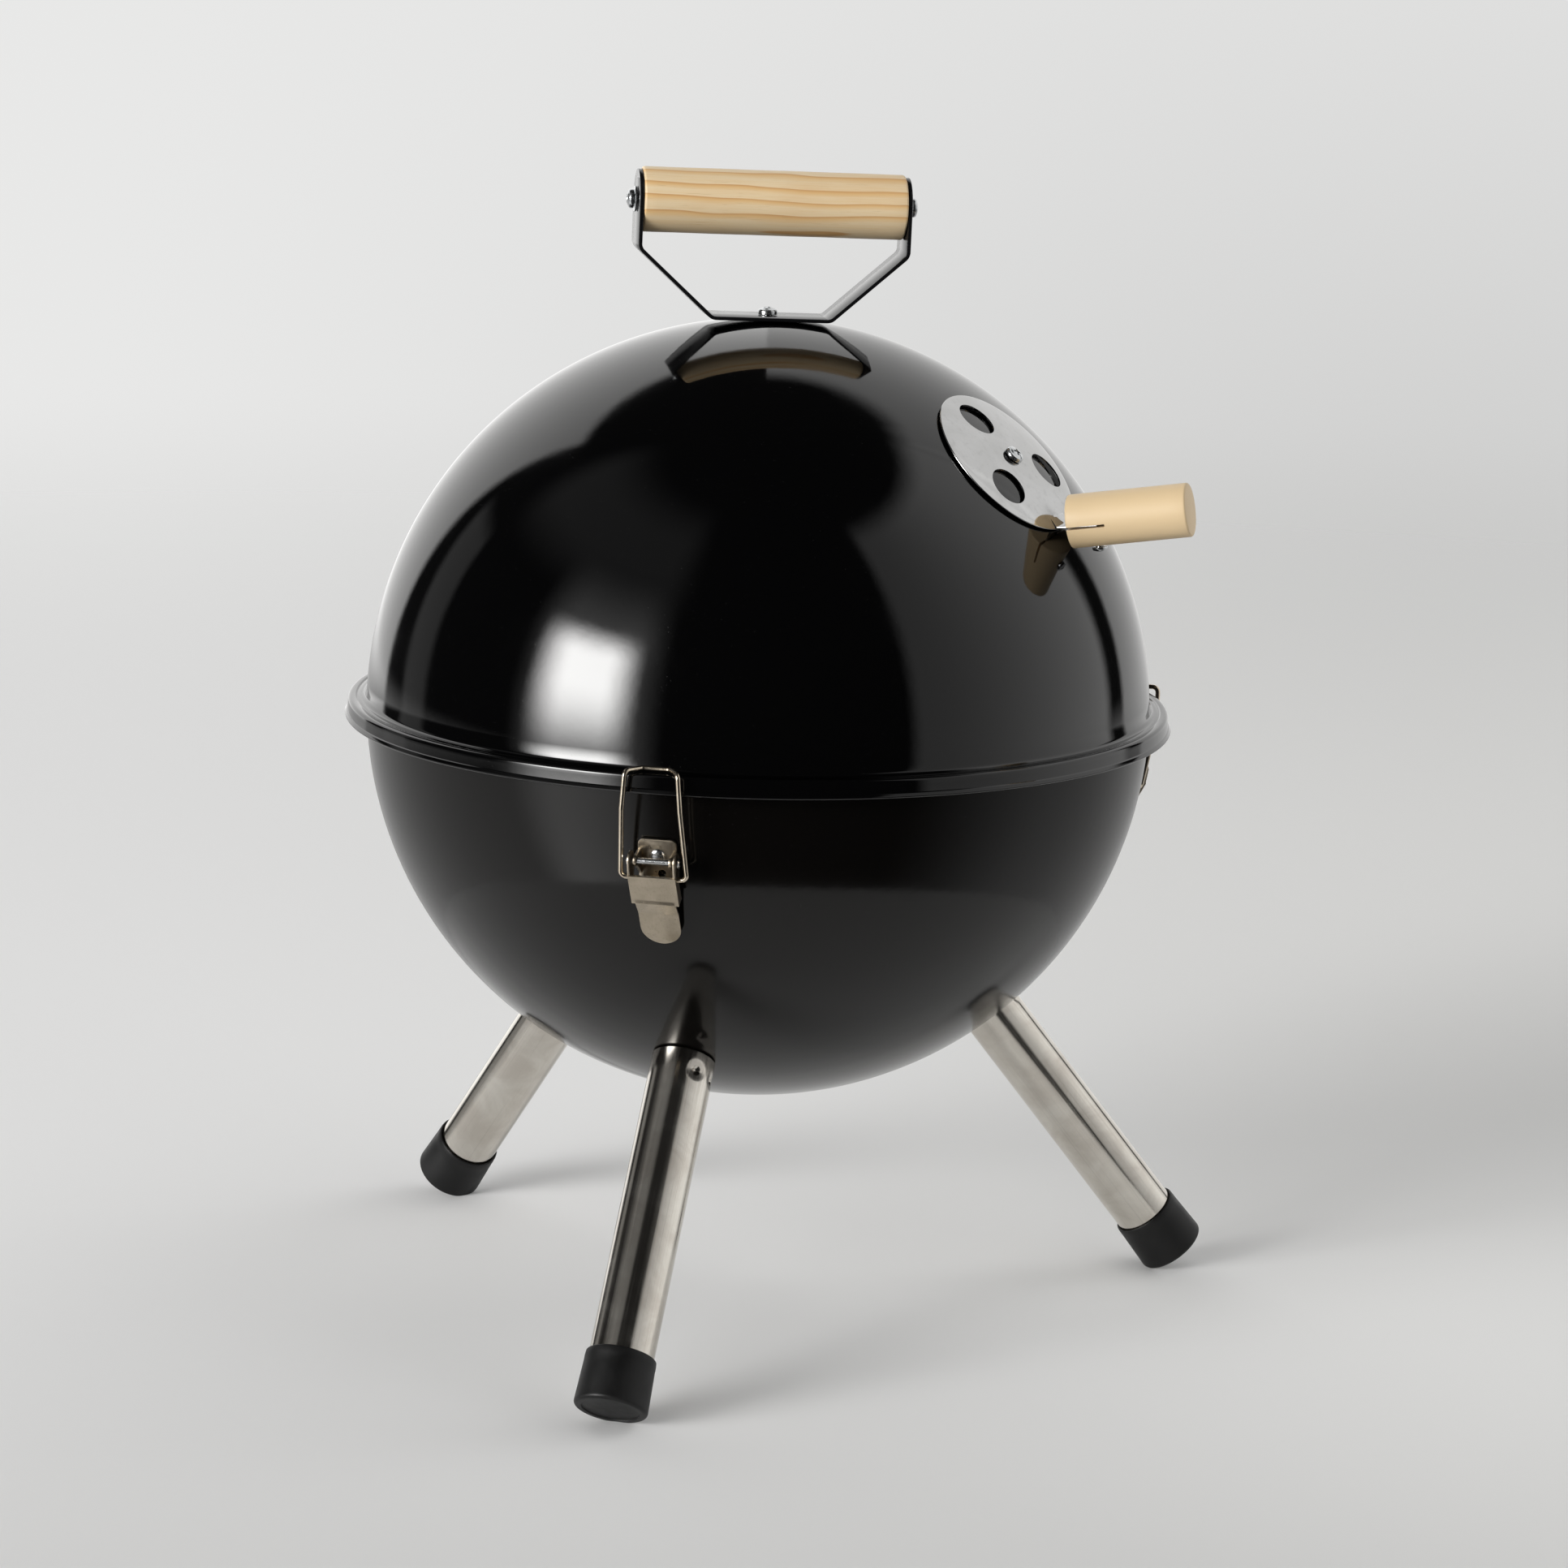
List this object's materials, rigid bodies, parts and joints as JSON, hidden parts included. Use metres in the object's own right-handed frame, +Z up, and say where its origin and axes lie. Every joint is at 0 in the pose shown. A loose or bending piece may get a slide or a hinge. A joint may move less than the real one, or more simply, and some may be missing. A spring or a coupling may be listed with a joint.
{
  "type": "kettle charcoal grill",
  "caption": "Small round kettle charcoal grill on splayed tube legs, with a clipped domed lid, wooden carrying handle and turning air damper.",
  "frame": {"origin": "centre of the whole object's box on x and y, at the ground under the rubber feet", "axes": "+Z up; -Y is the side of the front leg and its clip; the damper knob points along +X"},
  "size_m": [0.3594, 0.3692, 0.4681],
  "materials": {
    "lid_enamel": "glossy black enamel",
    "bowl_enamel": "glossy black enamel, a little softer than the lid's",
    "black_strap": "satin black paint",
    "grip_wood": "oiled pine with long orange grain lines",
    "knob_wood": "bare smooth pale wood",
    "chrome_plate": "mirror chrome plate",
    "chrome_wire": "chromed wire",
    "zinc_steel": "bright zinc plate",
    "stainless_tube": "polished stainless steel with fine lengthwise marks",
    "nickel_sheet": "warm nickel plate",
    "nickel_wire": "warm nickel-plated wire",
    "galvanised_steel": "dull galvanised steel",
    "black_rubber": "matt black rubber"
  },
  "bodies": {
    "bowl": {"bowl_shell": "bowl_enamel", "leg_1_tube": "stainless_tube", "leg_1_plug": "black_strap", "leg_1_washer": "zinc_steel", "leg_1_bolt": "zinc_steel", "leg_1_foot": "black_rubber", "clip_1_bracket": "nickel_sheet", "clip_1_rivet_upper": "zinc_steel", "clip_1_rivet_lower": "zinc_steel", "clip_1_pin": "zinc_steel", "grate_bracket_1": "galvanised_steel", "leg_2_tube": "stainless_tube", "leg_2_plug": "black_strap", "leg_2_washer": "zinc_steel", "leg_2_bolt": "zinc_steel", "leg_2_foot": "black_rubber", "clip_2_bracket": "nickel_sheet", "clip_2_rivet_upper": "zinc_steel", "clip_2_rivet_lower": "zinc_steel", "clip_2_pin": "zinc_steel", "grate_bracket_2": "galvanised_steel", "leg_3_tube": "stainless_tube", "leg_3_plug": "black_strap", "leg_3_washer": "zinc_steel", "leg_3_bolt": "zinc_steel", "leg_3_foot": "black_rubber", "clip_3_bracket": "nickel_sheet", "clip_3_rivet_upper": "zinc_steel", "clip_3_rivet_lower": "zinc_steel", "clip_3_pin": "zinc_steel", "grate_bracket_3": "galvanised_steel", "bottom_damper_rivet": "zinc_steel"},
    "lid": {"lid_shell": "lid_enamel", "handle_strap": "black_strap", "handle_grip": "grip_wood", "handle_washer_left": "zinc_steel", "handle_washer_right": "zinc_steel", "handle_screw_left": "zinc_steel", "handle_screw_right": "zinc_steel", "handle_base_screw": "zinc_steel", "handle_base_nut": "zinc_steel", "damper_screw": "zinc_steel", "damper_spring_washer": "zinc_steel", "damper_nut": "zinc_steel"},
    "damper": {"damper_disc": "chrome_plate", "damper_knob": "knob_wood", "damper_knob_screw": "zinc_steel"},
    "bottom_damper": {"bottom_damper_disc": "galvanised_steel"},
    "clip_1_lever": {"clip_1_lever": "nickel_sheet"},
    "clip_1_bail": {"clip_1_bail": "nickel_wire"},
    "clip_2_lever": {"clip_2_lever": "nickel_sheet"},
    "clip_2_bail": {"clip_2_bail": "nickel_wire"},
    "clip_3_lever": {"clip_3_lever": "nickel_sheet"},
    "clip_3_bail": {"clip_3_bail": "nickel_wire"},
    "cooking_grate": {"cooking_grate": "chrome_wire"},
    "charcoal_grate": {"charcoal_grate": "galvanised_steel"}
  },
  "joints": [
    {"name": "lid_lift", "type": "slide", "parent": "bowl", "child": "lid", "axis": [0, 0, 1], "range_m": [0, 0.25]},
    {"name": "damper_turn", "type": "hinge", "parent": "lid", "child": "damper", "pos_m": [0.10584, -0.01383, 0.36208], "axis": [0.6788, -0.1844, 0.7108], "continuous": true},
    {"name": "bottom_damper_turn", "type": "hinge", "parent": "bowl", "child": "bottom_damper", "pos_m": [-0.00365, 0.01591, 0.09202], "axis": [0, 0, 1], "continuous": true},
    {"name": "clip_1_lever_swing", "type": "hinge", "parent": "bowl", "child": "clip_1_lever", "pos_m": [0.00182, -0.14899, 0.21812], "axis": [-0.9995, -0.0332, 0], "range_deg": [0, 140]},
    {"name": "clip_1_bail_swing", "type": "hinge", "parent": "clip_1_lever", "child": "clip_1_bail", "pos_m": [0.00178, -0.1479, 0.21152], "axis": [-0.9995, -0.0332, 0], "range_deg": [-182, 0]},
    {"name": "clip_2_lever_swing", "type": "hinge", "parent": "bowl", "child": "clip_2_lever", "pos_m": [0.13643, 0.10311, 0.21812], "axis": [0.5284, -0.849, 0], "range_deg": [0, 140]},
    {"name": "clip_2_bail_swing", "type": "hinge", "parent": "clip_2_lever", "child": "clip_2_bail", "pos_m": [0.1355, 0.10253, 0.21152], "axis": [0.5284, -0.849, 0], "range_deg": [-182, 0]},
    {"name": "clip_3_lever_swing", "type": "hinge", "parent": "bowl", "child": "clip_3_lever", "pos_m": [-0.1492, 0.09363, 0.21812], "axis": [0.471, 0.8821, 0], "range_deg": [0, 140]},
    {"name": "clip_3_bail_swing", "type": "hinge", "parent": "clip_3_lever", "child": "clip_3_bail", "pos_m": [-0.14823, 0.09311, 0.21152], "axis": [0.471, 0.8821, 0], "range_deg": [-182, 0]},
    {"name": "cooking_grate_lift", "type": "slide", "parent": "bowl", "child": "cooking_grate", "axis": [0, 0, 1], "range_m": [0, 0.045]},
    {"name": "charcoal_grate_lift", "type": "slide", "parent": "bowl", "child": "charcoal_grate", "axis": [0, 0, 1], "range_m": [0, 0.06]}
  ],
  "couplings": [
    {"joint": "clip_1_bail_swing", "follows": "clip_1_lever_swing", "ratio": -1.3},
    {"joint": "clip_2_bail_swing", "follows": "clip_2_lever_swing", "ratio": -1.3},
    {"joint": "clip_3_bail_swing", "follows": "clip_3_lever_swing", "ratio": -1.3}
  ]
}
